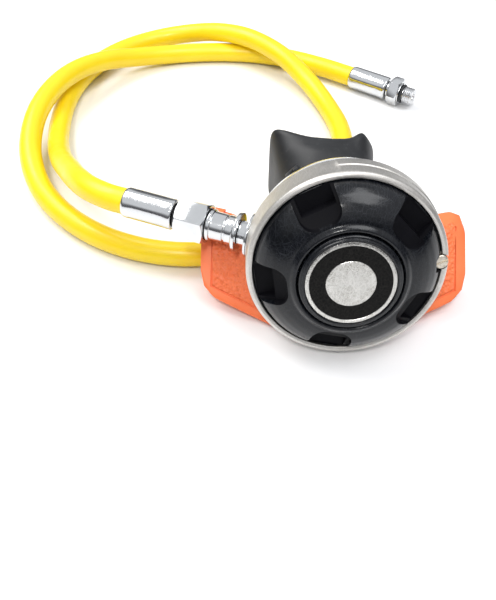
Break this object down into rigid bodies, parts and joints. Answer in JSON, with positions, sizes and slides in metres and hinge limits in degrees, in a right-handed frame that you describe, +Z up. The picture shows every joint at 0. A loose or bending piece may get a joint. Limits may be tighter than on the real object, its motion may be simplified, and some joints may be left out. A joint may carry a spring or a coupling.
{
  "type": "scuba regulator second stage with hose",
  "caption": "Scuba demand regulator second stage: round purge cover in a metal ring, exhaust tee, mouthpiece, and a looped low-pressure hose with end fittings.",
  "frame": {"origin": "centre of the exhaust tee's flat underside, on the table", "axes": "+Z up from the table; the purge cover faces -Y and looks up by 15.8 degrees; +X to the right seen from the front, away from the hose inlet"},
  "size_m": [0.2196, 0.275, 0.0771],
  "materials": {
    "chromed_brass": "polished chrome plating over brass",
    "black_gloss": "glossy black moulding, lightly scuffed",
    "satin_metal": "satin warm grey metal",
    "nickel_screw": "nickel-plated slotted screw",
    "label_metal": "scratched bright disc with plain rings",
    "orange_rubber": "orange moulded rubber with a pebble-grained panel",
    "black_silicone": "matte black silicone",
    "clear_silicone": "milky silicone",
    "black_trim": "black nylon and nitrile",
    "yellow_hose": "satin yellow hose jacket",
    "white_plastic": "white moulding",
    "spring_steel": "bright stainless steel"
  },
  "bodies": {
    "housing": {"case": "chromed_brass", "purge_cover": "black_gloss", "retaining_ring": "satin_metal", "ring_lock_screw": "nickel_screw", "purge_spring": "spring_steel", "diaphragm": "clear_silicone", "valve_barrel": "chromed_brass", "orifice_seat": "spring_steel", "poppet_spring": "spring_steel", "jam_nut": "chromed_brass", "inlet_adapter": "chromed_brass", "exhaust_tee": "orange_rubber", "mouthpiece": "black_silicone", "cable_tie": "black_trim", "near_ferrule": "chromed_brass", "hose_stem": "chromed_brass", "inlet_o_ring": "black_trim", "hose": "yellow_hose", "far_ferrule": "chromed_brass", "first_stage_fitting": "chromed_brass", "first_stage_o_ring": "black_trim"},
    "button": {"purge_button": "black_gloss", "label_disc": "label_metal"},
    "plate": {"diaphragm_plate": "white_plastic"},
    "lever": {"demand_lever": "spring_steel"},
    "valve_poppet": {"poppet": "chromed_brass", "poppet_seat": "black_trim", "lever_washer": "spring_steel", "lever_locknut": "spring_steel"},
    "flap": {"exhaust_valve": "clear_silicone"},
    "nut": {"swivel_nut": "chromed_brass"}
  },
  "joints": [
    {"name": "purge_press", "type": "slide", "parent": "housing", "child": "button", "axis": [0, 0.9622, -0.2723], "range_m": [0, 0.003], "stiffness_N_per_m": 400, "springref_m": -0.002},
    {"name": "plate_slide", "type": "slide", "parent": "housing", "child": "plate", "axis": [0, 0.9622, -0.2723], "range_m": [0, 0.003]},
    {"name": "lever_turn", "type": "hinge", "parent": "housing", "child": "lever", "pos_m": [-0.01626, -0.00382, 0.03396], "axis": [0.0991, 0.237, 0.9664], "range_deg": [0, 11]},
    {"name": "poppet_slide", "type": "slide", "parent": "housing", "child": "valve_poppet", "axis": [0.9374, -0.348, -0.0108], "range_m": [0, 0.001]},
    {"name": "exhaust_lift", "type": "slide", "parent": "housing", "child": "flap", "axis": [0, 0.3289, -0.9444], "range_m": [0, 0.0015], "stiffness_N_per_m": 20, "springref_m": -0.001},
    {"name": "nut_spin", "type": "hinge", "parent": "housing", "child": "nut", "pos_m": [-0.05906, 0.00959, 0.03506], "axis": [-0.9374, 0.348, 0.0108], "continuous": true}
  ],
  "couplings": [
    {"joint": "plate_slide", "follows": "purge_press", "ratio": 1},
    {"joint": "lever_turn", "follows": "purge_press", "rad_per_m": 62},
    {"joint": "poppet_slide", "follows": "purge_press", "ratio": 0.3}
  ]
}
